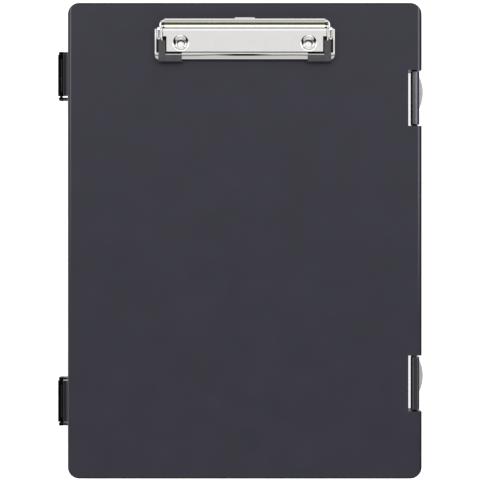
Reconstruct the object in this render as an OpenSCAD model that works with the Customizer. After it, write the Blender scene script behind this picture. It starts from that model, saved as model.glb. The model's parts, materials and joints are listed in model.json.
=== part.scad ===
// Storage clipboard box: a shallow document tray closed by a hinged writing board.
// The board carries a low sprung clip at its head and two swing latches on the right.
// Millimetres. The origin is the middle of the underside, +X to the latches, +Y to the clip.

/* [Box] */
// Width of the closed box, hinge side to latch side
box_w = 250; // [240:1:270]
// Length of the closed box, foot to clip edge
box_l = 336; // [325:1:360]
// Height of the tray below the parting line
tray_h = 19.5; // [17:0.5:26]
// Height of the lid above the parting line
lid_h = 8.5; // [7.5:0.5:11]
// Radius of the box corners in plan
corner_r = 8; // [6:0.5:12]
// Radius along the lid's top edge and the tray's bottom edge
edge_r = 2; // [1:0.25:3]
// Wall thickness of the lid's rim and recesses
lid_wall = 2.2; // [1.8:0.1:2.6]
// Thickness of the writing panel
panel_t = 2.4; // [2:0.1:3]
// Wall thickness of the tray
tray_wall = 2.4; // [2:0.1:3]
// Thickness of the tray's floor
floor_t = 2.2; // [1.8:0.1:3]
// How far the tray's sides stand inside the lid's
tray_inset = 0.4; // [0.2:0.1:0.6]
// Height of the tray's tongue inside the lid's rim
tongue_h = 1.2; // [0.8:0.1:2]
// Thickness of the tongue
tongue_t = 1.3; // [1:0.1:1.8]
// Gap between the tongue and the lid's rim
tongue_gap = 0.3; // [0.2:0.05:0.4]
// Depth of the bead under the tongue
bead_h = 4; // [3:0.5:6]

/* [Hinges] */
// Distance of each hinge's middle from the nearer end of the box
hinge_end = 52.5; // [40:0.5:70]
// How far both hinges sit towards the clip
hinge_shift = 1.4; // [0:0.1:3]
// How far the hinge axis stands outside the lid's side
hinge_out = 5.2; // [4.5:0.1:6.5]
// Length of one hinge over its two ears
hinge_span = 34; // [28:1:44]
// Thickness of each ear on the tray
ear_t = 1.7; // [1.4:0.1:2.4]
// Radius of the ear round the pin
ear_r = 1.7; // [1.5:0.1:2]
// How far each ear reaches below the hinge axis
ear_drop = 11.5; // [8:0.5:14]
// Radius of the ear's lower outer corner
ear_corner_r = 1.2; // [0.6:0.1:1.5]
// Diameter of the hinge pin
hinge_pin_d = 2; // [1.6:0.1:2.2]
// Diameter of the knuckle on the lid
knuckle_d = 4.6; // [4.2:0.1:5.2]
// End gap of the knuckle on its upper end
knuckle_gap_upper = 0.3; // [0.2:0.1:0.6]
// End gap of the knuckle on its lower end
knuckle_gap_lower = 1.1; // [0.4:0.1:1.6]
// Thickness of the leaf that carries the knuckle
leaf_t = 1; // [0.8:0.1:1.8]
// Solid length at each end of the slot along the top of the knuckle
slot_end = 2.9; // [2:0.1:6]
// Width of the slot
slot_w = 1.8; // [1:0.1:2]
// Sideways place of the slot, from the pin towards the lid
slot_off = 0.5; // [0:0.1:0.6]

/* [Latches] */
// Distance of each latch's middle from the nearer end of the box
latch_end = 67.2; // [55:0.1:90]
// Length of the recess that each latch stands in
notch_l = 39.5; // [38.5:0.1:44]
// Depth of the recess from the lid's side
notch_depth = 9.6; // [9.4:0.1:12]
// Distance of the latch pivot inside the lid's side
latch_in = 4.6; // [4.4:0.1:5.3]
// Distance of the latch pivot below the lid's face
latch_down = 3.3; // [3.1:0.1:3.8]
// Gap between the latch and its recess at each end
latch_end_gap = 1.25; // [0.5:0.05:3]
// Diameter of the latch barrel
latch_d = 6.2; // [5:0.1:6.4]
// Diameter of the latch's end trunnions
trunnion_d = 3; // [2.4:0.1:3.4]
// Thickness of the latch plate
latch_t = 2; // [1.6:0.1:2.4]
// Height of the plate's lower edge above the underside
latch_low = 4.5; // [2:0.5:6]
// Radius of the plate's lower corners
latch_corner_r = 3; // [1:0.5:4]
// Height of the catch bar's underside above the box's underside
catch_z = 9; // [8:0.5:11]
// Height of the catch bar
catch_h = 4; // [3:0.5:5]
// Thickness of the catch bar
catch_t = 2.2; // [1.6:0.1:2.6]
// Gap between the catch bar and the latch plate
catch_gap = 0.4; // [0.35:0.05:0.6]
// Gap between the latch nose and the catch bar, side by side
nose_gap = 0.1; // [0.05:0.05:0.2]
// Height of the latch nose
nose_h = 2.2; // [1.4:0.1:2.8]
// Radius of the thumb lip's edge in plan
lip_r = 26.5; // [22:0.5:34]
// How far the thumb lip stands out of the latch plate
lip_out = 3.4; // [2.5:0.1:4.5]
// Height of the thumb lip's upper face above the underside
lip_z = 15.5; // [13:0.5:17]
// Thickness of the thumb lip
lip_t = 2; // [1.4:0.1:2.6]
// Place of the thumb lip along the latch, towards the clip
lip_shift = 4.7; // [0:0.1:6]

/* [Clip pivot and springs] */
// Distance of the clip pivot from the box's clip edge
pivot_in = 20.4; // [18:0.1:30]
// Diameter of the clip pivot pin
pivot_d = 2; // [1.6:0.1:2.4]
// Diameter of the pivot pin's heads
pin_head_d = 2.7; // [2.4:0.1:3]
// Thickness of the pivot pin's heads
pin_head_t = 1; // [0.6:0.1:1.2]
// Distance of each spring from the middle
spring_x = 25; // [18:0.5:30]
// Diameter of the spring wire
spring_wire_d = 0.9; // [0.7:0.05:1]
// Gap between the coil's inside and the pivot pin
spring_gap = 0.15; // [0.1:0.01:0.2]
// Gap between the coil and the lid under it
coil_floor_gap = 0.25; // [0.2:0.05:0.5]
// Gap between the coil and the deck over it
coil_roof_gap = 0.15; // [0.1:0.05:0.4]
// Turns of each coil
spring_turns = 5; // [3:1:7]
// Gap from one turn to the next
turn_gap = 0.55; // [0.45:0.05:0.8]
// Length of the leg under the roll
spring_roll_leg = 4.6; // [4:0.1:5]
// Length of the leg under the deck
spring_deck_leg = 9.5; // [8:0.5:10.5]

/* [Clip deck] */
// How far the deck's pivot ears stand outside its sides
ear_out = 2.5; // [1.6:0.1:3.5]
// How far the deck reaches in front of the pivot
deck_front = 14.9; // [13:0.1:18]
// How far the deck reaches behind the pivot
deck_rear = 1.5; // [1.2:0.1:2]
// How far the pivot ears reach in front of the pivot
deck_ear_front = 3.9; // [3.5:0.1:6]
// Thickness of the deck's sheet
deck_t = 1; // [0.8:0.1:1.2]
// Gap between the deck's front flange and the lid's face
flange_gap = 0.4; // [0.3:0.1:1]

/* [Rivets] */
// Distance of each rivet from the deck's side edge
rivet_side = 10; // [8:0.5:20]
// Diameter of the rivet's shank
rivet_d = 6.4; // [5:0.1:7]
// Wall thickness of the rivet's hollow shank
rivet_wall = 0.6; // [0.4:0.1:1]
// How far the rivet's head reaches past its shank
rivet_head_out = 0.7; // [0.5:0.1:1]
// Thickness of the rivet's head
rivet_head_t = 0.8; // [0.6:0.1:1.2]
// How far the head's rolled rim stays outside the hollow
rivet_roll_in = 0.06; // [0.04:0.01:0.1]
// Room round the rivet's head on the dimple's floor
dimple_room = 0.4; // [0.2:0.1:0.8]
// Radius of the dimple's rounded brim
brim_r = 1.5; // [0.6:0.1:1.8]
// Width of deck left between the dimple and the deck's front edge
dimple_edge = 0.4; // [0.2:0.1:1]
// How far the washer inside the lid reaches past the shank
washer_out = 2.3; // [1.5:0.1:4]
// Thickness of the washer
washer_t = 1; // [0.8:0.1:1.4]

/* [Clip jaw] */
// Width of the jaw over its side rims
jaw_w = 126.4; // [110:0.1:150]
// Gap between the jaw's front bar and the deck
jaw_gap = 0.6; // [0.5:0.1:1]
// Front-to-back length of the jaw's stepped lip
lip_l = 4.6; // [4.4:0.1:5.4]
// Thickness of the jaw's sheet
jaw_t = 1.1; // [0.9:0.1:1.2]
// Height of the lip's upper strip above the lid's face
lip_h = 5.25; // [5:0.05:5.4]
// Height of the step from the upper strip down to the lower one
step_h = 0.95; // [0.5:0.05:1.4]
// Front-to-back length of the lower strip
step_l = 2.7; // [2.2:0.1:3]
// Radius of the step's upper edge
crest_r = 0.6; // [0.3:0.05:0.8]
// Radius of the lip's front edge
nose_r = 1; // [0.6:0.05:1.2]
// Height of the lip's free edge above the lid's face
lip_low = 1.1; // [0.9:0.1:1.5]
// Radius of the jaw's front corners in plan
jaw_corner_r = 3; // [2:0.1:4]
// Height of the ledge's upper face above the lid's face
ledge_h = 2.8; // [2.5:0.1:3.2]
// Gap between the ledge and the deck's side
ledge_gap = 1.2; // [0.8:0.1:2]
// Gap between the ledge and the deck's ear
ledge_ear_gap = 2.6; // [0.8:0.1:3]
// Thickness of the outer rim
rim_t = 1; // [0.8:0.1:1.2]
// Height of the rim's lower edge above the lid's face
rim_low = 1.4; // [1.2:0.1:1.6]
// How far the rim's upper edge stays below the wire's middle
rim_under = 0.4; // [0:0.1:0.8]
// Thickness of the pivot flange
flange_t = 1.2; // [1:0.1:1.4]
// Gap between the pivot flange and the deck's ear
flange_side_gap = 0.5; // [0.3:0.1:0.8]
// Clearance of the pivot flange above the lid's face
flange_floor_gap = 0.3; // [0.2:0.05:0.5]
// How far the pivot flange reaches behind the pivot under the socket
flange_rear = 1.2; // [1:0.1:1.6]

/* [Clip lever] */
// Diameter of the lever bar
lever_d = 3.3; // [3:0.1:4]
// Diameter of the wire that carries the lever bar
wire_d = 1.7; // [1.4:0.1:2]
// Bend radius at the wire's rear corners
bend_r = 2.9; // [2.4:0.1:4]
// Diameter of the sockets that hold the wire's ends
socket_d = 4.2; // [3.6:0.1:4.8]
// Diameter of each socket's toe
toe_d = 3.4; // [2.8:0.1:3.6]
// How far each socket stands clear of the flange's inner face
socket_off = 0.2; // [0.1:0.05:0.4]
// Distance of each socket's toe from the pivot, to the front
socket_front = 5; // [4:0.1:6]
// Distance of each socket's heel from the pivot, to the rear
socket_rear = 0.6; // [0.4:0.1:1]
// How far the wire lies inside each socket's middle
wire_in = 1; // [0.6:0.1:1.1]
// Distance from the pivot back to the wire's end
wire_end = 0.5; // [0:0.1:1]
// Height of the bridge that joins each rim to its socket
bridge_h = 1.4; // [1:0.1:1.6]
// Width of the thumb tab in the middle of the lever bar
tab_w = 14; // [8:0.5:24]
// How far the thumb tab stands out behind the bar
tab_out = 0.6; // [0.3:0.1:1]
// Height of the thumb tab
tab_h = 2.4; // [1.6:0.1:2.8]
// Seam between the lever bar and the roll, front to back
lever_seam = 0.3; // [0.2:0.05:1]
// Diameter of the roll between the deck and the lever bar
roll_d = 3; // [2.2:0.1:3.4]
// Gap between the roll and the deck's rear edge, front to back
roll_gap = 0.4; // [0.3:0.05:0.8]
// Height of the roll's middle above the pivot
roll_up = 1.7; // [1.5:0.1:1.8]
// Diameter of the roll's end tenons
roll_tenon_d = 1.2; // [1:0.1:1.3]
// Diameter of the flange's eye round each tenon
roll_eye_d = 1.8; // [1.6:0.1:2]

/* [Corner pads] */
// Width of the pad across its front
pad_w = 16.5; // [12:0.5:22]
// How far the pad's outer face stays inside the jaw's side
pad_in = 2.4; // [2.2:0.1:3.2]
// Gap between the pad's side leg and the deck
pad_leg_gap = 0.6; // [0.5:0.1:1]
// How far the pad stands out in front of the lip
pad_out = 1.6; // [1.5:0.1:2.5]
// Front-to-back length of the pad's front leg
pad_front_l = 4.9; // [4.6:0.1:5.4]
// Gap between the side leg's rear end and the ledge's rear end
pad_rear_gap = 0.3; // [0:0.1:1]
// Thickness of rubber over the top of the lip
pad_over = 0.5; // [0.4:0.05:1]
// Clearance of the pad above the lid's face
pad_gap = 0.3; // [0.2:0.05:0.4]
// Radius of the pad's upper edges
pad_edge_r = 1; // [0.6:0.1:1.3]

/* [Fits] */
// Radial clearance of a pin or trunnion that turns in its hole
running_gap = 0.05; // [0.03:0.01:0.08]

/* [Hidden] */
$fn = 64;
// Overrun of a cut past the face that it opens
over = 1;
// Depth that a joined form is sunk into what carries it
sink = 0.3;

lid_top = tray_h + lid_h;
lid_side = box_w / 2;
tray_w = box_w - 2 * tray_inset;
tray_l = box_l - 2 * tray_inset;
panel_z = lid_top - panel_t;

hinge_x = -lid_side - hinge_out;
hinge_z = tray_h;
hinge_pitch = box_l - 2 * hinge_end;
ear_mid = hinge_span / 2 - ear_t / 2;
knuckle_top = hinge_span / 2 - ear_t - knuckle_gap_upper;
knuckle_bottom = -hinge_span / 2 + ear_t + knuckle_gap_lower;
knuckle_mid = (knuckle_top + knuckle_bottom) / 2;
knuckle_l = knuckle_top - knuckle_bottom;
slot_l = knuckle_l - 2 * slot_end;
leaf_lift = 0.2;

latch_pitch = box_l - 2 * latch_end;
latch_l = notch_l - 2 * latch_end_gap;
nose_out = catch_gap - nose_gap;
notch_x = lid_side - notch_depth;
latch_x = lid_side - latch_in;
latch_z = lid_top - latch_down;
plate_outer = latch_d / 2;
plate_inner = plate_outer - latch_t;
catch_outer = latch_x + plate_inner - catch_gap;

coil_r = pivot_d / 2 + spring_gap + spring_wire_d / 2;
coil_outer_r = coil_r + spring_wire_d / 2;
pivot_h = coil_outer_r + coil_floor_gap;
deck_h = pivot_h + coil_outer_r + coil_roof_gap + deck_t;
pivot_y = box_l / 2 - pivot_in;
pivot_z = lid_top + pivot_h;
deck_top = lid_top + deck_h;

channel_w = socket_d + rim_t;
flange_x = jaw_w / 2 - channel_w;
flange_r = pivot_h - flange_floor_gap;
deck_ear_w = 2 * (flange_x - flange_side_gap);
deck_w = deck_ear_w - 2 * ear_out;

rivet_pitch = deck_w - 2 * rivet_side;
rivet_head_d = rivet_d + 2 * rivet_head_out;
rivet_hollow_d = rivet_d - 2 * rivet_wall;
dimple_floor_d = rivet_head_d + 2 * dimple_room;
dimple_top_d = dimple_floor_d + 2 * brim_r;
rivet_y = pivot_y - deck_front + dimple_edge + dimple_top_d / 2;
washer_d = rivet_d + 2 * washer_out;
washer_z = panel_z - washer_t;

bar_rear_y = pivot_y - deck_front - jaw_gap;
lip_y = bar_rear_y - lip_l;
jaw_reach = pivot_y - lip_y;
ledge_rear = deck_ear_front + ledge_ear_gap;
ledge_x = deck_w / 2 + ledge_gap;

socket_x = flange_x + socket_off + socket_d / 2;
wire_x = socket_x - wire_in;
lever_l = 2 * (wire_x - bend_r);
lever_h = pivot_h + pin_head_d / 2 + running_gap + socket_d / 2;
roll_back = deck_rear + roll_gap + roll_d / 2;
roll_h = pivot_h + roll_up;
lever_back = roll_back + roll_d / 2 + lever_seam + lever_d / 2;
lever_y = pivot_y + lever_back;
lever_z = lid_top + lever_h;
roll_y = pivot_y + roll_back;
roll_z = lid_top + roll_h;
rim_high = lever_h - rim_under;

pad_outer_x = jaw_w / 2 - pad_in;
pad_inner_x = pad_outer_x - pad_w;
pad_leg_x = deck_w / 2 + pad_leg_gap;
pad_h = lip_h + pad_over;
pad_front = lip_y - pad_out;
pad_front_rear = pad_front + pad_front_l;
pad_leg_rear = ledge_rear + pad_rear_gap;

spring_pitch = spring_wire_d + turn_gap;
spring_seat_gap = 0.05;
roll_dist = norm([roll_back, roll_up]);
roll_angle = atan2(roll_up, roll_back);
roll_leg_lean = asin((roll_d / 2 + spring_wire_d / 2 + spring_seat_gap - coil_r) / roll_dist);
roll_leg_angle = roll_angle - roll_leg_lean;
deck_leg_room = deck_h - deck_t - pivot_h - spring_wire_d / 2 - 2 * spring_seat_gap;
deck_leg_angle = leg_angle(deck_leg_room);
coil_rings = 8;
coil_sides = 6;

// Rise angle of a straight leg that leaves the coil's underside and meets a seat above the pivot
function leg_angle(room) = asin(room / norm([spring_deck_leg, coil_r])) + atan2(coil_r, spring_deck_leg);

// Rounded rectangle, centred
module rounded_plan(w, l, r) {
    square([w - 2 * r, l], center = true);
    square([w, l - 2 * r], center = true);
    for (sx = [-1, 1], sy = [-1, 1]) {
        translate([sx * (w / 2 - r), sy * (l / 2 - r)])
            circle(r);
    }
}

// Section of a slab's rim, with its upper outer edge rounded
module rim_section(r, h, e) {
    square([r - e, h]);
    square([r, h - e]);
    translate([r - e, h - e])
        circle(e);
}

// Slab with round corners in plan and a rounded upper edge all round
module filleted_slab(w, l, h, r, e) {
    side_l = l - 2 * r;
    end_w = w - 2 * r;
    translate([-end_w / 2, -l / 2 + r, 0])
        cube([end_w, side_l, h]);
    for (turn = [0, 180]) {
        rotate([0, 0, turn]) {
            translate([w / 2 - r, side_l / 2, 0])
                rotate([90, 0, 0])
                    linear_extrude(side_l)
                        rim_section(r, h, e);
            translate([-end_w / 2, l / 2 - r, 0])
                rotate([90, 0, 90])
                    linear_extrude(end_w)
                        rim_section(r, h, e);
            translate([w / 2 - r, l / 2 - r, 0])
                rotate_extrude(angle = 90)
                    rim_section(r, h, e);
            translate([w / 2 - r, -l / 2 + r, 0])
                rotate([0, 0, -90])
                    rotate_extrude(angle = 90)
                        rim_section(r, h, e);
        }
    }
}

// Plan of one latch recess, grown by a margin on its three closed sides
module notch_plan(margin) {
    translate([notch_x - margin, -notch_l / 2 - margin])
        square([lid_side - notch_x + margin + over, notch_l + 2 * margin]);
}

module at_latches() {
    for (side = [-1, 1]) {
        translate([0, side * latch_pitch / 2, 0])
            children();
    }
}

module at_hinges() {
    for (side = [-1, 1]) {
        translate([hinge_x, hinge_shift + side * hinge_pitch / 2, hinge_z])
            children();
    }
}

// Cylinder along Y, centred
module rod_y(d, l) {
    rotate([90, 0, 0])
        cylinder(d = d, h = l, center = true);
}

// Cylinder along X, centred
module rod_x(d, l) {
    rotate([0, 90, 0])
        cylinder(d = d, h = l, center = true);
}

// Plan of the tray's tongue at a depth from its outer face
module tongue_plan(depth) {
    margin = tongue_gap + depth;
    difference() {
        rounded_plan(
            box_w - 2 * (lid_wall + margin),
            box_l - 2 * (lid_wall + margin),
            corner_r - lid_wall - margin
        );
        for (side = [-1, 1]) {
            translate([0, side * latch_pitch / 2])
                notch_plan(lid_wall + margin);
        }
    }
}

module tongue() {
    translate([0, 0, tray_h - sink])
        linear_extrude(tongue_h + sink)
            difference() {
                tongue_plan(0);
                tongue_plan(tongue_t);
            }
    translate([0, 0, tray_h - bead_h])
        linear_extrude(bead_h)
            difference() {
                rounded_plan(tray_w - tray_wall, tray_l - tray_wall, corner_r - tray_wall / 2);
                tongue_plan(tongue_t);
            }
}

// Walls of one recess in the tray
module tray_recess_walls() {
    linear_extrude(tray_h)
        intersection() {
            notch_plan(lid_wall);
            translate([0, -box_l])
                square([tray_w / 2 - tray_wall / 2, 2 * box_l]);
        }
}

// One ear plate, its profile seen along Y from the hinge axis
module ear() {
    reach = hinge_out + tray_inset + tray_wall / 2;
    rotate([90, 0, 0])
        linear_extrude(ear_t, center = true) {
            circle(ear_r);
            translate([-ear_r, -ear_drop + ear_corner_r])
                square([ear_r + reach, ear_drop - ear_corner_r]);
            translate([-ear_r + ear_corner_r, -ear_drop])
                square([ear_r - ear_corner_r + reach, ear_corner_r]);
            translate([-ear_r + ear_corner_r, -ear_drop + ear_corner_r])
                circle(ear_corner_r);
        }
}

module catch_bar() {
    translate([catch_outer - catch_t, -notch_l / 2 - lid_wall / 2, catch_z])
        cube([catch_t, notch_l + lid_wall, catch_h]);
}

module base_tray() {
    color("#3e3e44") {
        difference() {
            union() {
                difference() {
                    translate([0, 0, tray_h])
                        mirror([0, 0, 1])
                            filleted_slab(tray_w, tray_l, tray_h, corner_r, edge_r);
                    translate([0, 0, floor_t])
                        linear_extrude(tray_h)
                            rounded_plan(
                                tray_w - 2 * tray_wall,
                                tray_l - 2 * tray_wall,
                                corner_r - tray_wall
                            );
                }
                at_latches() tray_recess_walls();
                tongue();
                at_hinges() {
                    for (end = [-1, 1]) {
                        translate([0, end * ear_mid, 0])
                            ear();
                    }
                }
            }
            at_latches() {
                translate([0, 0, -over])
                    linear_extrude(tray_h + 2 * over + tongue_h)
                        notch_plan(0);
            }
            at_hinges() rod_y(hinge_pin_d, hinge_span + 2 * over);
        }
        at_latches() catch_bar();
    }
}

// Knuckle and leaf of one hinge, from the hinge axis
module knuckle() {
    translate([0, knuckle_mid, 0]) {
        rod_y(knuckle_d, knuckle_l);
        translate([0, -knuckle_l / 2, leaf_lift])
            cube([hinge_out + lid_wall / 2, knuckle_l, leaf_t]);
    }
}

// Bore and top slot of one knuckle
module knuckle_cuts() {
    rod_y(hinge_pin_d + 2 * running_gap, hinge_span + 2 * over);
    translate([slot_off, knuckle_mid, 0])
        linear_extrude(knuckle_d) {
            square([slot_w, slot_l - slot_w], center = true);
            for (end = [-1, 1]) {
                translate([0, end * (slot_l - slot_w) / 2])
                    circle(d = slot_w);
            }
        }
}

module lid_board() {
    color("#45444c") {
        difference() {
            union() {
                difference() {
                    translate([0, 0, tray_h])
                        filleted_slab(box_w, box_l, lid_h, corner_r, edge_r);
                    translate([0, 0, tray_h - over])
                        linear_extrude(lid_h - panel_t + over)
                            rounded_plan(
                                box_w - 2 * lid_wall,
                                box_l - 2 * lid_wall,
                                corner_r - lid_wall
                            );
                }
                at_latches() {
                    translate([0, 0, tray_h])
                        linear_extrude(lid_h - panel_t + sink)
                            intersection() {
                                notch_plan(lid_wall);
                                translate([0, -box_l])
                                    square([lid_side - lid_wall / 2, 2 * box_l]);
                            }
                }
                at_hinges() knuckle();
            }
            at_latches() {
                translate([0, 0, tray_h - over])
                    linear_extrude(lid_h + 2 * over)
                        notch_plan(0);
                translate([latch_x, 0, latch_z])
                    rod_y(trunnion_d + 2 * running_gap, notch_l + 2 * lid_wall + over);
            }
            at_hinges() knuckle_cuts();
            for (side = [-1, 1]) {
                translate([side * rivet_pitch / 2, rivet_y, tray_h])
                    cylinder(d = rivet_d, h = lid_h + over);
            }
        }
    }
}

module hinge_pin(side) {
    color("#b8b8ba")
        translate([hinge_x, hinge_shift + side * hinge_pitch / 2, hinge_z])
            rod_y(hinge_pin_d, hinge_span);
}

// Section of the latch along X and Z: a barrel that runs on into its plate
module latch_section() {
    circle(d = latch_d);
    translate([plate_inner, -(latch_z - latch_low)])
        square([latch_t, latch_z - latch_low]);
}

// Outline of the latch along Y and Z, from the pivot, with round lower corners
module latch_outline() {
    drop = latch_z - latch_low;
    translate([-latch_l / 2, -drop + latch_corner_r])
        square([latch_l, drop - latch_corner_r + latch_d]);
    translate([-latch_l / 2 + latch_corner_r, -drop])
        square([latch_l - 2 * latch_corner_r, latch_corner_r]);
    for (end = [-1, 1]) {
        translate([end * (latch_l / 2 - latch_corner_r), -drop + latch_corner_r])
            circle(latch_corner_r);
    }
}

// Thumb lip: the part of a round-edged disc that shows outside the plate
module thumb_lip() {
    lip_x = plate_outer + lip_out;
    intersection() {
        translate([lip_x - lip_r, lip_shift, lip_z - lip_t - latch_z])
            rotate_extrude()
                rim_section(lip_r, lip_t, lip_t / 3);
        translate([plate_inner + latch_t / 2, -latch_l / 2, lip_z - 2 * lip_t - latch_z])
            cube([lip_out + latch_t, latch_l, 3 * lip_t]);
    }
}

// Shallow nose along the inside of the plate, under the catch bar
module latch_nose() {
    nose_l = latch_l - 2 * latch_corner_r;
    nose_top = catch_z - running_gap - latch_z;
    translate([plate_inner, nose_l / 2, nose_top])
        rotate([90, 0, 0])
            linear_extrude(nose_l)
                polygon([[0, 0], [-nose_out, -nose_out], [-nose_out, -nose_h / 2], [0, -nose_h], [sink, -nose_h], [sink, 0]]);
}

module latch(side) {
    color("#303035")
        translate([latch_x, side * latch_pitch / 2, latch_z]) {
            intersection() {
                rotate([90, 0, 0])
                    linear_extrude(latch_l, center = true)
                        latch_section();
                translate([-latch_d, 0, 0])
                    rotate([90, 0, 90])
                        linear_extrude(2 * latch_d)
                            latch_outline();
            }
            rod_y(trunnion_d, notch_l + 2 * lid_wall - 2 * running_gap);
            thumb_lip();
            latch_nose();
        }
}

// Solid of one rivet dimple under the deck
module dimple_body() {
    translate([0, 0, lid_top])
        cylinder(d1 = dimple_floor_d + 2 * deck_t, d2 = dimple_top_d + 2 * deck_t, h = deck_h - deck_t / 2);
}

// Cuts of one rivet dimple: a straight well under a rounded brim
module dimple_cuts() {
    translate([0, 0, lid_top])
        rotate_extrude()
            difference() {
                union() {
                    translate([0, deck_t])
                        square([dimple_floor_d / 2, deck_h]);
                    translate([0, deck_h - brim_r])
                        square([dimple_top_d / 2, brim_r + over]);
                }
                translate([dimple_top_d / 2, deck_h - brim_r])
                    circle(brim_r);
            }
    translate([0, 0, lid_top - over])
        cylinder(d = rivet_d, h = deck_h);
}

// Section of the deck and its front flange along Y and Z, with a round bend between them
module deck_section() {
    translate([-deck_front + deck_t, deck_h - deck_t])
        square([deck_front + deck_rear - deck_t, deck_t]);
    translate([-deck_front, flange_gap])
        square([deck_t, deck_h - deck_t - flange_gap]);
    intersection() {
        translate([-deck_front + deck_t, deck_h - deck_t])
            circle(deck_t);
        translate([-deck_front, deck_h - deck_t])
            square(deck_t);
    }
}

module clip_bracket() {
    deck_l = deck_front + deck_rear;
    ear_l = deck_ear_front + deck_rear;
    color("#d9d9d2") {
        difference() {
            union() {
                translate([-deck_w / 2, pivot_y, lid_top])
                    rotate([90, 0, 90])
                        linear_extrude(deck_w)
                            deck_section();
                translate([-deck_ear_w / 2, pivot_y - deck_ear_front, deck_top - deck_t])
                    cube([deck_ear_w, ear_l, deck_t]);
                for (ear_x = [-deck_ear_w / 2, deck_ear_w / 2 - deck_t]) {
                    translate([ear_x, pivot_y - deck_ear_front, lid_top])
                        cube([deck_t, ear_l, deck_h]);
                }
                intersection() {
                    for (side = [-1, 1]) {
                        translate([side * rivet_pitch / 2, rivet_y, 0])
                            dimple_body();
                    }
                    translate([-deck_w / 2, pivot_y - deck_front + deck_t, lid_top])
                        cube([deck_w, deck_l - deck_t, deck_h]);
                }
            }
            for (side = [-1, 1]) {
                translate([side * rivet_pitch / 2, rivet_y, 0])
                    dimple_cuts();
            }
            translate([0, pivot_y, pivot_z])
                rod_x(pivot_d, deck_ear_w + 2 * over);
        }
    }
}

// Section of the jaw's lip along Y and Z, from its foot: a rounded nose, a low strip, a step and a high strip
module lip_section() {
    low_h = lip_h - step_h;
    difference() {
        union() {
            square([lip_l, low_h - nose_r]);
            translate([nose_r, 0])
                square([lip_l - nose_r, low_h]);
            translate([nose_r, low_h - nose_r])
                circle(nose_r);
            translate([step_l, 0])
                square([lip_l - step_l, lip_h - crest_r]);
            translate([step_l + crest_r, 0])
                square([lip_l - step_l - crest_r, lip_h]);
            translate([step_l + crest_r, lip_h - crest_r])
                circle(crest_r);
        }
        translate([jaw_t, -over])
            square([lip_l, low_h - jaw_t + over]);
        translate([step_l + jaw_t, -over])
            square([lip_l, lip_h - jaw_t + over]);
        translate([-over, -over])
            square([lip_l + 2 * over, lip_low + over]);
    }
}

// Front bar of the jaw, as wide as the jaw, with its high strip cut back behind each pad
module jaw_front_bar() {
    difference() {
        translate([-jaw_w / 2, lip_y, lid_top])
            rotate([90, 0, 90])
                linear_extrude(jaw_w)
                    lip_section();
        for (side = [0, 1]) {
            mirror([side, 0, 0])
                translate([pad_inner_x, lip_y + step_l + jaw_t, lid_top])
                    cube([ledge_x - pad_inner_x, lip_l, lip_h + over]);
        }
    }
}

// Pivot flange of the jaw, its outline along Y and Z from the pivot
module jaw_flange_plan() {
    difference() {
        union() {
            circle(flange_r);
            translate([-socket_front, ledge_h - jaw_t - pivot_h])
                square([socket_front + flange_rear, lever_h - ledge_h + jaw_t]);
            translate([0, roll_up - roll_eye_d / 2])
                square([roll_back, roll_eye_d]);
            translate([roll_back, roll_up])
                circle(d = roll_eye_d);
        }
        circle(pivot_d / 2 + running_gap);
        translate([roll_back, roll_up])
            circle(d = roll_tenon_d);
    }
}

// Socket of one wire end: a round heel that narrows to a round toe, from the pivot
module socket() {
    socket_l = socket_front + socket_rear;
    translate([socket_x, socket_rear, lever_z])
        rotate([90, 0, 0])
            cylinder(d1 = socket_d, d2 = toe_d, h = socket_l);
    translate([socket_x, socket_rear, lever_z])
        sphere(d = socket_d);
    translate([socket_x, -socket_front, lever_z])
        sphere(d = toe_d);
}

// Everything of the jaw on one side: flange, socket, ledge and rim
module jaw_side() {
    rim_x = jaw_w / 2 - rim_t;
    ledge_y = lip_y + jaw_t;
    difference() {
        union() {
            translate([flange_x, pivot_y, pivot_z])
                rotate([90, 0, 90])
                    linear_extrude(flange_t)
                        jaw_flange_plan();
            translate([0, pivot_y, 0])
                socket();
        }
        translate([wire_x, pivot_y - wire_end, lever_z])
            rotate([-90, 0, 0])
                cylinder(d = wire_d, h = socket_d + over);
    }
    translate([ledge_x, ledge_y, lid_top + ledge_h - jaw_t])
        cube([pad_outer_x - ledge_x, pivot_y - ledge_rear - ledge_y, jaw_t]);
    translate([flange_x, ledge_y, lid_top + ledge_h - jaw_t])
        cube([flange_t, pivot_y - socket_front - ledge_y + sink, jaw_t]);
    translate([rim_x, lip_y + jaw_corner_r - sink, lid_top + rim_low])
        cube([rim_t, jaw_reach + flange_rear - jaw_corner_r + sink, rim_high - rim_low]);
    translate([socket_x, pivot_y - socket_front / 2, lid_top + rim_high - bridge_h])
        cube([rim_x + rim_t / 2 - socket_x, socket_front / 2 + socket_rear, bridge_h]);
}

module jaw_sheet() {
    intersection() {
        union() {
            jaw_front_bar();
            jaw_side();
            mirror([1, 0, 0])
                jaw_side();
        }
        translate([0, lip_y + box_l / 2, lid_top])
            linear_extrude(box_l)
                rounded_plan(jaw_w, box_l, jaw_corner_r);
    }
}

module clip_jaw() {
    color("#e2e0d2")
        jaw_sheet();
}

// Wire bent in a U: a leg into each side socket and a long run through the lever bar
module clip_lever_wire() {
    leg_start = pivot_y - wire_end;
    leg_l = lever_y - bend_r - leg_start;
    color("#cfcdc2") {
        translate([0, lever_y, lever_z])
            rod_x(wire_d, lever_l);
        for (side = [0, 1]) {
            mirror([side, 0, 0]) {
                translate([wire_x, leg_start + leg_l / 2, lever_z])
                    rod_y(wire_d, leg_l);
                translate([lever_l / 2, lever_y - bend_r, lever_z])
                    rotate_extrude(angle = 90)
                        translate([bend_r, 0])
                            circle(d = wire_d);
            }
        }
    }
}

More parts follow.
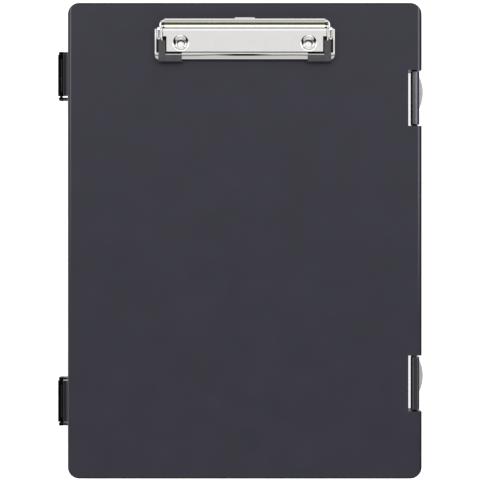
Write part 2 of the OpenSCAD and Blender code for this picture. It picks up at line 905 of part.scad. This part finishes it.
module clip_lever_bar() {
    color("#e2e0d2")
        translate([0, lever_y, lever_z])
            difference() {
                union() {
                    rod_x(lever_d, lever_l);
                    translate([-tab_w / 2, 0, -tab_h / 2])
                        cube([tab_w, lever_d / 2 + tab_out, tab_h]);
                }
                rod_x(wire_d, lever_l + over);
            }
}

module clip_roll() {
    color("#cfcdc2")
        translate([0, roll_y, roll_z]) {
            rod_x(roll_d, lever_l);
            rod_x(roll_tenon_d, 2 * (flange_x + flange_t));
        }
}

module clip_pivot_pin() {
    head_x = flange_x + flange_t + running_gap;
    color("#b8b8ba")
        translate([0, pivot_y, pivot_z]) {
            rod_x(pivot_d, 2 * head_x);
            for (side = [-1, 1]) {
                translate([side * (head_x + pin_head_t / 2), 0, 0])
                    rod_x(pin_head_d, pin_head_t);
            }
        }
}

// Points on the spring's path, as [x, y, z] from the middle of the coil
function coil_start() = -90 + roll_leg_angle;
function coil_sweep() = 360 * spring_turns + deck_leg_angle + roll_leg_angle;
function coil_steps() = round(spring_turns * coil_rings);
function coil_width() = spring_turns * spring_pitch;
function coil_point(i) = let (
    share = i / coil_steps(),
    angle = coil_start() - coil_sweep() * share
) [(share - 0.5) * coil_width(), coil_r * cos(angle), coil_r * sin(angle)];
function roll_leg_tip() = coil_point(0)
    + spring_roll_leg * [0, cos(roll_leg_angle), sin(roll_leg_angle)];
function deck_leg_tip() = coil_point(coil_steps())
    + spring_deck_leg * [0, -cos(deck_leg_angle), sin(deck_leg_angle)];
function spring_path() = concat(
    [roll_leg_tip()],
    [for (i = [0 : coil_steps()]) coil_point(i)],
    [deck_leg_tip()]
);
function unit(v) = v / norm(v);
function heading(path, i) = let (
    last = len(path) - 1
) unit(path[min(i + 1, last)] - path[max(i - 1, 0)]);
// Ring of points square to the path, laid out from the coil's axis so that no ring twists
function ring(path, i) = let (
    along = heading(path, i),
    side = unit([1, 0, 0] - along * along[0]),
    up = cross(along, side)
) [for (k = [0 : coil_sides - 1])
    path[i] + spring_wire_d / 2 * (cos(360 * k / coil_sides) * side + sin(360 * k / coil_sides) * up)];

function ring_faces(i) = [for (k = [0 : coil_sides - 1], half = [0, 1])
    let (
        a = i * coil_sides + k,
        b = i * coil_sides + (k + 1) % coil_sides
    )
    half == 0 ? [a, a + coil_sides, b] : [b, a + coil_sides, b + coil_sides]];
function cap_faces(first, turn) = [for (k = [1 : coil_sides - 2])
    turn > 0 ? [first, first + k, first + k + 1] : [first, first + k + 1, first + k]];

module clip_spring(side) {
    path = spring_path();
    count = len(path);
    points = [for (i = [0 : count - 1]) each ring(path, i)];
    faces = concat(
        [for (i = [0 : count - 2]) each ring_faces(i)],
        cap_faces(0, 1),
        cap_faces((count - 1) * coil_sides, -1)
    );
    color("#9a9a9a")
        translate([side * spring_x, pivot_y, pivot_z])
            mirror([side < 0 ? 1 : 0, 0, 0])
                polyhedron(points, faces);
}
least_gap = min([for (i = [0 : coil_steps() - coil_rings])
    norm(coil_point(i) - coil_point(i + coil_rings))]) - spring_wire_d;
echo(spring_least_gap = least_gap);

// Section of one leg of a pad, with its upper edges rounded
module pad_section(w, h) {
    square([w, h - pad_edge_r]);
    translate([pad_edge_r, 0])
        square([w - 2 * pad_edge_r, h]);
    for (x = [pad_edge_r, w - pad_edge_r]) {
        translate([x, h - pad_edge_r])
            circle(pad_edge_r);
    }
}

// Rubber pad on the right front corner, wrapped over the lip
module jaw_pad_right() {
    leg_y = pad_front_rear - over;
    leg_l = pivot_y - pad_leg_rear - leg_y;
    color("#2b2b2e")
        difference() {
            union() {
                translate([pad_inner_x, pad_front, lid_top + pad_gap])
                    rotate([90, 0, 90])
                        linear_extrude(pad_outer_x - pad_inner_x)
                            pad_section(pad_front_l, pad_h - pad_gap);
                translate([pad_leg_x, leg_y + leg_l, lid_top + ledge_h])
                    rotate([90, 0, 0])
                        linear_extrude(leg_l)
                            pad_section(pad_outer_x - pad_leg_x, pad_h - ledge_h);
            }
            jaw_sheet();
        }
}

module jaw_pad_left() {
    mirror([1, 0, 0])
        jaw_pad_right();
}

// Section of a rivet's rolled head, from the middle of its seat
module rivet_head_section() {
    roll_r = (rivet_head_d - rivet_hollow_d) / 4 - rivet_roll_in / 2;
    square([rivet_head_d / 2, roll_r]);
    translate([rivet_head_d / 2 - roll_r, roll_r])
        circle(roll_r);
}

module clip_rivet(side) {
    tail_z = washer_z - rivet_head_t;
    color("#dcdad0")
        translate([side * rivet_pitch / 2, rivet_y, 0])
            difference() {
                union() {
                    translate([0, 0, tail_z])
                        cylinder(d = rivet_d, h = lid_top + deck_t + rivet_head_t / 2 - tail_z);
                    translate([0, 0, lid_top + deck_t])
                        rotate_extrude()
                            rivet_head_section();
                    translate([0, 0, tail_z])
                        cylinder(d = rivet_head_d, h = rivet_head_t);
                }
                translate([0, 0, panel_z])
                    cylinder(d = rivet_hollow_d, h = lid_h);
            }
}

module rivet_washer(side) {
    color("#b8b8ba")
        translate([side * rivet_pitch / 2, rivet_y, washer_z])
            difference() {
                cylinder(d = washer_d, h = washer_t);
                translate([0, 0, -over])
                    cylinder(d = rivet_d, h = washer_t + 2 * over);
            }
}

base_tray();
lid_board();
hinge_pin(1);  // hinge_pin_upper
hinge_pin(-1);  // hinge_pin_lower
latch(1);  // latch_upper
latch(-1);  // latch_lower
clip_bracket();
clip_jaw();
clip_lever_bar();
clip_lever_wire();
clip_roll();
clip_pivot_pin();
clip_spring(-1);  // clip_spring_left
clip_spring(1);  // clip_spring_right
jaw_pad_left();
jaw_pad_right();
clip_rivet(-1);  // clip_rivet_left
clip_rivet(1);  // clip_rivet_right
rivet_washer(-1);  // rivet_washer_left
rivet_washer(1);  // rivet_washer_right
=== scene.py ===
import json
from math import cos, radians, sin

import bmesh
import bpy
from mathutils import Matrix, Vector

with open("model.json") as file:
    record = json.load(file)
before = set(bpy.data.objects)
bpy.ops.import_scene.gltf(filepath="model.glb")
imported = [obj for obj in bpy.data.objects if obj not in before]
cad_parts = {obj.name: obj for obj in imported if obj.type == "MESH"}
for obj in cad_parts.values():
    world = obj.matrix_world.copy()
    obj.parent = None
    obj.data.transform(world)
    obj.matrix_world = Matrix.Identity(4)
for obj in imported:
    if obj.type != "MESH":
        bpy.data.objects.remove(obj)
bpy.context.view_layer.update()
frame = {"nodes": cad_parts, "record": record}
nodes = frame["nodes"]

# The camera's place in metres and its lens in millimetres
CAMERA_PLACE = (-0.00335, 0.0005, 1.358)
CAMERA_LENS = 141.4
SENSOR = 36
# Half of the floor's side in metres
FLOOR_HALF = 20.0
# Degrees over which a black card fades out
CARD_BLUR = 4.0
# Heights from which a strip of colour starts: at once, or on the lid's face
ANY_HEIGHT = 0.0
LID_FACE = 0.024
# Leaves a vector's x and y
FLAT = (1, 1, 0)
# Where the rivets stand, in x and y, and how far their dimples reach
RIVETS = [(-0.045, 0.1389), (0.045, 0.1389)]
DIMPLE_RADIUS = 0.0058


# Materials

def new_material(name, colour, roughness, metallic=0.0, specular=0.5):
    """A material with its shader's plain values set, as (material, node tree, shader)."""
    made = bpy.data.materials.new(name)
    made.use_nodes = True
    shader = made.node_tree.nodes["Principled BSDF"]
    shader.inputs["Base Color"].default_value = (*colour, 1)
    shader.inputs["Roughness"].default_value = roughness
    shader.inputs["Metallic"].default_value = metallic
    shader.inputs["Specular IOR Level"].default_value = specular
    made.diffuse_color = (*colour, 1)
    return made, made.node_tree, shader


def place_of(tree, stretch=(1, 1, 1)):
    """The point's place in metres, stretched along each axis."""
    where = tree.nodes.new("ShaderNodeTexCoord")
    scaled = tree.nodes.new("ShaderNodeMapping")
    scaled.inputs["Scale"].default_value = stretch
    tree.links.new(where.outputs["Object"], scaled.inputs["Vector"])
    return scaled.outputs["Vector"]


def noise(tree, place, scale, detail=2.0, roughness=0.5):
    """A noise over the place, with scale blotches in a metre."""
    made = tree.nodes.new("ShaderNodeTexNoise")
    made.inputs["Scale"].default_value = scale
    made.inputs["Detail"].default_value = detail
    made.inputs["Roughness"].default_value = roughness
    tree.links.new(place, made.inputs["Vector"])
    return made.outputs["Fac"]


def remap(tree, value, source, target):
    """The value moved from the source range to the target range, and held inside it."""
    made = tree.nodes.new("ShaderNodeMapRange")
    made.inputs["From Min"].default_value = source[0]
    made.inputs["From Max"].default_value = source[1]
    made.inputs["To Min"].default_value = target[0]
    made.inputs["To Max"].default_value = target[1]
    tree.links.new(value, made.inputs["Value"])
    return made.outputs["Result"]


def arithmetic(tree, operation, first, second=None):
    """A sum, product or other operation on two values, each a socket or a number."""
    made = tree.nodes.new("ShaderNodeMath")
    made.operation = operation
    for socket, value in zip(made.inputs, (first, second)):
        if isinstance(value, (int, float)):
            socket.default_value = value
        elif value is not None:
            tree.links.new(value, socket)
    return made.outputs["Value"]


def vector_step(tree, operation, first, second=None):
    """A node that works on a vector's socket and a second vector, a socket or numbers."""
    made = tree.nodes.new("ShaderNodeVectorMath")
    made.operation = operation
    tree.links.new(first, made.inputs[0])
    if isinstance(second, tuple):
        made.inputs[1].default_value = second
    elif second is not None:
        tree.links.new(second, made.inputs[1])
    return made


def blend_colours(tree, factor, first, second):
    """The first colour where the factor is 0, and the second where it is 1."""
    made = tree.nodes.new("ShaderNodeMix")
    made.data_type = "RGBA"
    for socket, colour in ((made.inputs[6], first), (made.inputs[7], second)):
        if isinstance(colour, tuple):
            socket.default_value = (*colour, 1)
        else:
            tree.links.new(colour, socket)
    tree.links.new(factor, made.inputs[0])
    return made.outputs[2]


def bump(tree, height, distance, strength=1.0, under=None):
    """A bump of a height in metres, on top of an earlier bump if there is one."""
    made = tree.nodes.new("ShaderNodeBump")
    made.inputs["Strength"].default_value = strength
    made.inputs["Distance"].default_value = distance
    tree.links.new(height, made.inputs["Height"])
    if under is not None:
        tree.links.new(under, made.inputs["Normal"])
    return made.outputs["Normal"]


def band(tree, place, axis, edges, blur):
    """1 between the two edges along the axis (0, 1 or 2), and 0 outside them."""
    split = tree.nodes.new("ShaderNodeSeparateXYZ")
    tree.links.new(place, split.inputs["Vector"])
    along = split.outputs[axis]
    rise = remap(tree, along, (edges[0] - blur, edges[0] + blur), (0, 1))
    fall = remap(tree, along, (edges[1] - blur, edges[1] + blur), (1, 0))
    return arithmetic(tree, "MULTIPLY", rise, fall)


def moulded_plastic(name, dark, light, roughness, grain, grain_depth, specular,
                    zones=(), glossy=None):
    """Moulded plastic: mottled colour, a fine grain, rubbed patches and zones of painted light
    and shade.

    A zone darker than the plastic is dull too, and so is all that lies outside glossy.
    """
    made, tree, shader = new_material(name, dark, roughness[0], specular=specular)
    place = place_of(tree)
    mottle = remap(tree, noise(tree, place, 38, 4.0, 0.6), (0.35, 0.65), (0, 1))
    shown = blend_colours(tree, mottle, dark, light)
    shine = glossy(tree, place) if glossy else None
    for zone, colour in zones:
        inside = zone(tree, place)
        shown = blend_colours(tree, inside, shown, colour)
        if max(colour) < min(dark):
            kept = arithmetic(tree, "SUBTRACT", 1.0, inside)
            shine = kept if shine is None else arithmetic(tree, "MULTIPLY", shine, kept)
    tree.links.new(shown, shader.inputs["Base Color"])
    if shine is not None:
        shine = arithmetic(tree, "MULTIPLY", shine, specular)
        tree.links.new(shine, shader.inputs["Specular IOR Level"])
    rubbed = remap(tree, noise(tree, place, 90, 3.0, 0.55), (0.35, 0.7), roughness)
    tree.links.new(rubbed, shader.inputs["Roughness"])
    coarse = bump(tree, noise(tree, place, 55, 2.0), 0.00012, 0.25)
    fine = bump(tree, noise(tree, place, grain, 3.0, 0.6), grain_depth, 1.0, coarse)
    tree.links.new(fine, shader.inputs["Normal"])
    return made


def strip(edges, blur, fade=None, high=LID_FACE):
    """A zone between two values of x, above a height, that may fade along y."""
    def zone(tree, place):
        inside = band(tree, place, 0, edges, blur)
        above = band(tree, place, 2, (high, 1), 0.0002)
        inside = arithmetic(tree, "MULTIPLY", inside, above)
        if fade:
            split = tree.nodes.new("ShaderNodeSeparateXYZ")
            tree.links.new(place, split.inputs["Vector"])
            along = remap(tree, split.outputs["Y"], fade, (0, 1))
            inside = arithmetic(tree, "MULTIPLY", inside, along)
        return inside
    return zone


def facing_up(tree, place):
    """A zone on the faces that look out of the writing face."""
    split = tree.nodes.new("ShaderNodeSeparateXYZ")
    where = tree.nodes.new("ShaderNodeTexCoord")
    tree.links.new(where.outputs["Normal"], split.inputs["Vector"])
    return remap(tree, split.outputs["Z"], (0.55, 0.75), (0, 1))


def across(edges, blur, sway=0.0):
    """A zone between two values of y, whose edges may sway along the part."""
    def zone(tree, place):
        if not sway:
            return band(tree, place, 1, edges, blur)
        drift = remap(tree, noise(tree, place, 22, 1.0), (0.3, 0.7), (-sway, sway))
        shift = tree.nodes.new("ShaderNodeCombineXYZ")
        tree.links.new(drift, shift.inputs["Y"])
        moved = vector_step(tree, "ADD", place, shift.outputs["Vector"])
        return band(tree, moved.outputs["Vector"], 1, edges, blur)
    return zone


def round_spots(centres, radius, blur):
    """A zone inside circles that stand upright on the given places in x and y."""
    def zone(tree, place):
        flat = vector_step(tree, "MULTIPLY", place, FLAT)
        nearest = None
        for x, y in centres:
            away = vector_step(tree, "DISTANCE", flat.outputs["Vector"], (x, y, 0))
            distance = away.outputs["Value"]
            if nearest is None:
                nearest = distance
            else:
                nearest = arithmetic(tree, "MINIMUM", nearest, distance)
        return remap(tree, nearest, (radius - blur, radius + blur), (1, 0))
    return zone


def toward(centres, turn, spread, blur):
    """A zone of wedges around the given places in x and y, open towards one heading."""
    heading = (cos(radians(turn)), sin(radians(turn)), 0)
    edge = (cos(radians(spread + blur)), cos(radians(spread - blur)))

    def zone(tree, place):
        total = None
        for x, y in centres:
            away = vector_step(tree, "SUBTRACT", place, (x, y, 0))
            flat = vector_step(tree, "MULTIPLY", away.outputs["Vector"], FLAT)
            unit = vector_step(tree, "NORMALIZE", flat.outputs["Vector"])
            facing = vector_step(tree, "DOT_PRODUCT", unit.outputs["Vector"], heading)
            inside = remap(tree, facing.outputs["Value"], edge, (0, 1))
            near = round_spots([(x, y)], 0.008, 0.0002)(tree, place)
            inside = arithmetic(tree, "MULTIPLY", inside, near)
            total = inside if total is None else arithmetic(tree, "MAXIMUM", total, inside)
        return total
    return zone


def overlap(zone, other):
    """The part of a zone that lies inside another."""
    def both(tree, place):
        return arithmetic(tree, "MULTIPLY", zone(tree, place), other(tree, place))
    return both


def without(zone, other):
    """The part of a zone that lies outside another."""
    def rest(tree, place):
        outside = arithmetic(tree, "SUBTRACT", 1.0, other(tree, place))
        return arithmetic(tree, "MULTIPLY", zone(tree, place), outside)
    return rest


def plated_metal(name, colour, shade, roughness, streak, wave, zones=()):
    """Plated or drawn metal: streaks of polish, faint waves and zones of painted light and shade.
    """
    made, tree, shader = new_material(name, colour, roughness[0], 1.0)
    place = place_of(tree)
    long_place = place_of(tree, streak)
    lines = noise(tree, long_place, 1400, 3.0, 0.6)
    spots = noise(tree, place, 160, 4.0, 0.6)
    mixed = arithmetic(tree, "MULTIPLY", lines, spots)
    tint = remap(tree, mixed, (0.15, 0.4), (0, 1))
    shown = blend_colours(tree, tint, colour, shade)
    for zone, other in zones:
        shown = blend_colours(tree, zone(tree, place), shown, other)
    tree.links.new(shown, shader.inputs["Base Color"])
    tree.links.new(remap(tree, mixed, (0.12, 0.42), roughness), shader.inputs["Roughness"])
    waves = bump(tree, noise(tree, place, 45, 1.0), wave, 0.5)
    fine = bump(tree, lines, 0.0000015, 1.0, waves)
    tree.links.new(fine, shader.inputs["Normal"])
    return made


def soft_rubber(name, dark, light):
    """Moulded rubber: dull, with a fine grain and paler dusty places."""
    made, tree, shader = new_material(name, dark, 0.6, specular=0.4)
    place = place_of(tree)
    dusty = remap(tree, noise(tree, place, 420, 4.0, 0.6), (0.4, 0.68), (0, 1))
    tree.links.new(blend_colours(tree, dusty, dark, light), shader.inputs["Base Color"])
    tree.links.new(remap(tree, dusty, (0, 1), (0.5, 0.72)), shader.inputs["Roughness"])
    fine = bump(tree, noise(tree, place, 2600, 2.0), 0.00003, 0.8)
    tree.links.new(fine, shader.inputs["Normal"])
    return made


CHARCOAL = {
    "dark": (0.0262, 0.0254, 0.0395),
    "light": (0.03, 0.0291, 0.0452),
    "roughness": (0.38, 0.46),
    "grain": 1500,
    "grain_depth": 0.00002,
    "specular": 0.35,
}
# Across the knuckle: painted shade on its outer side, a painted highlight line, painted shade in
# the groove beside it, and painted light where it meets the lid's edge
KNUCKLE_PAINTED_LIGHT = [
    (strip((-0.14, -0.1287), 0.0001, high=ANY_HEIGHT), (0.004, 0.004, 0.005)),
    (strip((-0.1287, -0.128), 0.0001, high=ANY_HEIGHT), (0.09, 0.09, 0.095)),
    (strip((-0.128, -0.1272), 0.0001, high=ANY_HEIGHT), (0.01, 0.01, 0.012)),
    (strip((-0.1262, -0.1246), 0.0006, high=ANY_HEIGHT), (0.08, 0.08, 0.09)),
]
# Along the lid's long sides: a painted highlight line on each, fading along y, and a painted
# shade line outside the right one
RIM_PAINTED_LIGHT = [
    (strip((-0.12325, -0.12255), 0.0001, (-0.04, 0.17)), (0.15, 0.145, 0.165)),
    (strip((0.1222, 0.1232), 0.0002, (-0.05, 0.05)), (0.13, 0.125, 0.155)),
    (strip((0.1236, 0.1243), 0.0001), (0.01, 0.01, 0.012)),
]
charcoal = moulded_plastic("charcoal_plastic", zones=KNUCKLE_PAINTED_LIGHT, **CHARCOAL)
lid_charcoal = moulded_plastic(
    "charcoal_plastic_lid",
    zones=KNUCKLE_PAINTED_LIGHT + RIM_PAINTED_LIGHT,
    glossy=across((-0.1668, 0.1668), 0.0006),
    **CHARCOAL,
)
# On a latch: painted shade on its inner side, a painted highlight along the crest, a painted
# shade line, and a pale painted highlight on the lip's faces that look up
LATCH_PAINTED_LIGHT = [
    (strip((0.1, 0.1179), 0.0002, high=ANY_HEIGHT), (0.003, 0.003, 0.004)),
    (strip((0.1205, 0.1216), 0.0003, (-0.02, 0.06), ANY_HEIGHT), (0.2, 0.19, 0.26)),
    (strip((0.1225, 0.1233), 0.0001, high=ANY_HEIGHT), (0.004, 0.004, 0.008)),
    (overlap(strip((0.1234, 0.14), 0.0001, high=ANY_HEIGHT), facing_up), (0.68, 0.68, 0.7)),
]
# Painted shade at the ends of the latch barrels
BARREL = strip((0.117, 0.1233), 0.0001, high=ANY_HEIGHT)
BARREL_ENDS = [(0.1194, 0.13), (0.07, 0.0822), (-0.13, -0.1194)]
END_PAINTED_SHADE = [
    (overlap(BARREL, across(edges, 0.0002)), (0.003, 0.003, 0.004)) for edges in BARREL_ENDS
]
black = moulded_plastic(
    "black_plastic",
    dark=(0.02, 0.019, 0.028),
    light=(0.026, 0.025, 0.036),
    roughness=(0.12, 0.2),
    grain=2200,
    grain_depth=0.000006,
    specular=1.0,
    zones=LATCH_PAINTED_LIGHT + END_PAINTED_SHADE,
)
NICKEL = {
    "colour": (0.79, 0.775, 0.745),
    "shade": (0.765, 0.75, 0.715),
    "roughness": (0.05, 0.11),
    "streak": (0.04, 1, 1),
    "wave": 0.00003,
}
# A brighter nickel colour for painted highlights on edges, dimples and heads
PAINTED_HIGHLIGHT = (0.97, 0.96, 0.94)
RIVET_HOLLOWS = [(x - 0.0002, y - 0.0009) for x, y in RIVETS]
DIMPLE_HIGHLIGHT = (round_spots(RIVETS, DIMPLE_RADIUS, 0.0002), PAINTED_HIGHLIGHT)
BRIM = without(round_spots(RIVETS, 0.0053, 0.0002), round_spots(RIVETS, 0.0039, 0.0002))
nickel = plated_metal("nickel_steel", **NICKEL)
deck_nickel = plated_metal(
    "nickel_steel_deck",
    # Painted highlights on the rear edge and the dimples, and painted dark reflections in arcs on
    # either side of their brims
    zones=[
        (across((0.1476, 0.1499), 0.0002), PAINTED_HIGHLIGHT),
        DIMPLE_HIGHLIGHT,
        (overlap(BRIM, toward(RIVETS, 169, 20, 6)), (0.02, 0.02, 0.02)),
        (overlap(BRIM, toward(RIVETS, 25, 15, 6)), (0.02, 0.02, 0.02)),
    ],
    **NICKEL,
)
jaw_nickel = plated_metal(
    "nickel_steel_jaw",
    # The front lip painted darker as a reflection, a painted highlight on the step behind it, a
    # painted shade line between, a painted dark reflection in its middle, and a painted highlight
    # on the rear
    zones=[
        (across((0.12, 0.1317), 0.0002), (0.6, 0.59, 0.575)),
        (across((0.1317, 0.1332), 0.0002), PAINTED_HIGHLIGHT),
        (across((0.1301, 0.1309), 0.0002, 0.0004), (0.3, 0.3, 0.26)),
        (
            overlap(
                across((0.13, 0.1313), 0.0001),
                strip((-0.0145, 0.013), 0.007, high=ANY_HEIGHT),
            ),
            (0.01, 0.01, 0.008),
        ),
        (across((0.141, 0.16), 0.0003), (0.95, 0.94, 0.91)),
    ],
    **NICKEL,
)
bar_nickel = plated_metal(
    "nickel_steel_bar",
    # Painted shade in a line behind the crest, and painted darker reflections on the bar's front
    # and its lower edge
    zones=[
        (across((0.1542, 0.1548), 0.0001), (0.33, 0.325, 0.3)),
        (across((0.1534, 0.1542), 0.0001), (0.5, 0.49, 0.43)),
        (across((0.152, 0.1534), 0.0002), (0.37, 0.36, 0.28)),
    ],
    **NICKEL,
)
roll_nickel = plated_metal(
    "nickel_steel_roll",
    # A painted highlight over the roll
    zones=[(across((0.1494, 0.1526), 0.0001), (0.97, 0.96, 0.91))],
    **NICKEL,
)
rivet_nickel = plated_metal(
    "nickel_steel_rivet",
    # A painted highlight on the head, and painted shade at the rear of its hollow
    zones=[
        DIMPLE_HIGHLIGHT,
        (
            without(
                round_spots(RIVETS, 0.003, 0.0003),
                round_spots(RIVET_HOLLOWS, 0.0026, 0.0004),
            ),
            (0.14, 0.14, 0.135),
        ),
    ],
    **NICKEL,
)
steel = plated_metal(
    "plain_steel",
    colour=(0.56, 0.56, 0.56),
    shade=(0.46, 0.46, 0.46),
    roughness=(0.25, 0.38),
    streak=(1, 0.06, 1),
    wave=0.00002,
)
# Blackened steel, kept nearly black: partly the finish and partly painted shade for the deep slot
# the pins lie in
blackened_and_shaded = plated_metal(
    "blackened_steel",
    colour=(0.06, 0.06, 0.065),
    shade=(0.035, 0.035, 0.04),
    roughness=(0.35, 0.5),
    streak=(1, 0.06, 1),
    wave=0.00002,
)
rubber = soft_rubber("black_rubber", (0.055, 0.054, 0.061), (0.083, 0.081, 0.09))

MADE_OF = {
    "charcoal_plastic": charcoal,
    "black_plastic": black,
    "nickel_steel": nickel,
    "plain_steel": steel,
    "blackened_steel": blackened_and_shaded,
    "black_rubber": rubber,
}
OWN_FINISH = {
    "lid_board": lid_charcoal,
    "clip_bracket": deck_nickel,
    "clip_jaw": jaw_nickel,
    "clip_lever_bar": bar_nickel,
    "clip_roll": roll_nickel,
    "clip_rivet_left": rivet_nickel,
    "clip_rivet_right": rivet_nickel,
}
for part in frame["record"]["subparts"]:
    shown = nodes[part["node"]]
    shown.data.materials.clear()
    finish = OWN_FINISH.get(part["node"], MADE_OF[part["material_slot"]])
    shown.data.materials.append(finish)


# Floor, light and camera

def lit_white(name, colour, paper, glow):
    """A matt surface that keeps shadows and shows white to the camera and in gloss."""
    made = bpy.data.materials.new(name)
    made.use_nodes = True
    tree = made.node_tree
    tree.nodes.remove(tree.nodes["Principled BSDF"])
    matt = tree.nodes.new("ShaderNodeBsdfDiffuse")
    matt.inputs["Color"].default_value = (*colour, 1)
    ray = tree.nodes.new("ShaderNodeLightPath")
    seen = arithmetic(tree, "MAXIMUM", ray.outputs["Is Camera Ray"], ray.outputs["Is Glossy Ray"])
    seen = arithmetic(tree, "MAXIMUM", seen, ray.outputs["Is Transmission Ray"])
    light = tree.nodes.new("ShaderNodeEmission")
    light.inputs["Color"].default_value = (*paper, 1)
    tree.links.new(arithmetic(tree, "MULTIPLY", seen, glow), light.inputs["Strength"])
    both = tree.nodes.new("ShaderNodeAddShader")
    tree.links.new(matt.outputs["BSDF"], both.inputs[0])
    tree.links.new(light.outputs["Emission"], both.inputs[1])
    tree.links.new(both.outputs["Shader"], tree.nodes["Material Output"].inputs["Surface"])
    return made


def make_floor():
    """A wide plain floor under the part."""
    form = bmesh.new()
    corners = [(-1, -1), (1, -1), (1, 1), (-1, 1)]
    form.faces.new([form.verts.new((x * FLOOR_HALF, y * FLOOR_HALF, 0)) for x, y in corners])
    mesh = bpy.data.meshes.new("floor")
    form.to_mesh(mesh)
    form.free()
    floor = bpy.data.objects.new("floor", mesh)
    mesh.materials.append(lit_white("floor_paper", (0.8, 0.8, 0.8), (1, 1, 1), 0.8))
    bpy.context.scene.collection.objects.link(floor)


def add_softbox(name, place, target, size, radiance, colour=(1, 1, 1)):
    """A flat lamp that looks at the target, with the brightness that its face shows."""
    data = bpy.data.lights.new(name, "AREA")
    data.shape = "RECTANGLE"
    data.size, data.size_y = size
    data.energy = radiance * 4 * size[0] * size[1]
    data.color = colour
    lamp = bpy.data.objects.new(name, data)
    lamp.location = place
    lamp.rotation_mode = "QUATERNION"
    lamp.rotation_quaternion = (Vector(target) - Vector(place)).to_track_quat("-Z", "Y")
    lamp.visible_camera = False
    bpy.context.scene.collection.objects.link(lamp)


def make_world(stops, cards, paper):
    """The room: a colour for each height, black cards in it, and white paper to the camera."""
    world = bpy.data.worlds.new("room")
    world.use_nodes = True
    tree = world.node_tree
    plain = tree.nodes["Background"]
    where = tree.nodes.new("ShaderNodeTexCoord").outputs["Generated"]
    split = tree.nodes.new("ShaderNodeSeparateXYZ")
    tree.links.new(where, split.inputs["Vector"])
    ramp = tree.nodes.new("ShaderNodeValToRGB")
    tree.links.new(split.outputs["Z"], ramp.inputs["Fac"])
    marks = ramp.color_ramp.elements
    while len(marks) < len(stops):
        marks.new(0.5)
    for mark, (height, colour) in zip(marks, stops):
        mark.position = height
        mark.color = (*colour, 1)
    room = ramp.outputs["Color"]
    for turn, rise, spread, shade in cards:
        turn, rise = radians(turn), radians(rise)
        heading = (cos(rise) * cos(turn), cos(rise) * sin(turn), sin(rise))
        facing = vector_step(tree, "DOT_PRODUCT", where, heading)
        edge = (cos(radians(spread + CARD_BLUR)), cos(radians(spread)))
        inside = remap(tree, facing.outputs["Value"], edge, (0, 1))
        room = blend_colours(tree, inside, room, (shade, shade, shade))
    ray = tree.nodes.new("ShaderNodeLightPath")
    shown = blend_colours(tree, ray.outputs["Is Camera Ray"], room, paper)
    tree.links.new(shown, plain.inputs["Color"])
    bpy.context.scene.world = world


def make_camera():
    """The camera looks straight down from above the middle of the board."""
    data = bpy.data.cameras.new("camera")
    data.lens = CAMERA_LENS
    data.sensor_width = SENSOR
    data.clip_start, data.clip_end = 0.01, 50
    camera = bpy.data.objects.new("camera", data)
    camera.location = CAMERA_PLACE
    bpy.context.scene.collection.objects.link(camera)
    bpy.context.scene.camera = camera


# The room's colour from the horizon (0) to overhead (1)
ROOM_STOPS = [
    (0.0, (0.62, 0.62, 0.58)),
    (0.3, (0.76, 0.76, 0.71)),
    (0.62, (0.84, 0.84, 0.8)),
    (0.88, (0.8, 0.8, 0.8)),
    (0.97, (0.64, 0.64, 0.67)),
    (1.0, (0.62, 0.62, 0.65)),
]
# Black cards: heading, height and half width in degrees, and shade
BLACK_CARDS = [
    (turn, rise, spread, 0.01)
    for turns in ((-28, -26, -24), (210, 210, 210))
    for turn, rise, spread in zip(turns, (68, 48, 30), (12, 12, 11))
]
# Lamps: name, place, target, size and brightness, with a colour where it isn't white
LAMPS = [
    ("softbox_top", (0, 0.85, 1.9), (0, 0.85, 0), (2.0, 1.3), 0.26),
    ("softbox_front", (0, -0.93, 1.39), (0, 0.05, 0), (1.0, 0.5), 0.9, (1, 1, 0.95)),
    ("softbox_back", (0, 1.14, 1.3), (0, 0.05, 0), (1.4, 0.5), 0.6, (1, 1, 0.93)),
    ("softbox_left", (-0.95, 0.6, 1.5), (0, 0.1, 0), (0.5, 0.8), 2.6),
    ("softbox_right", (0.95, 0.6, 1.5), (0, 0.1, 0), (0.5, 0.8), 2.6),
]

make_floor()
make_world(ROOM_STOPS, BLACK_CARDS, (1, 1, 1))
for lamp in LAMPS:
    add_softbox(*lamp)
make_camera()
bpy.context.scene.view_settings.view_transform = "Standard"
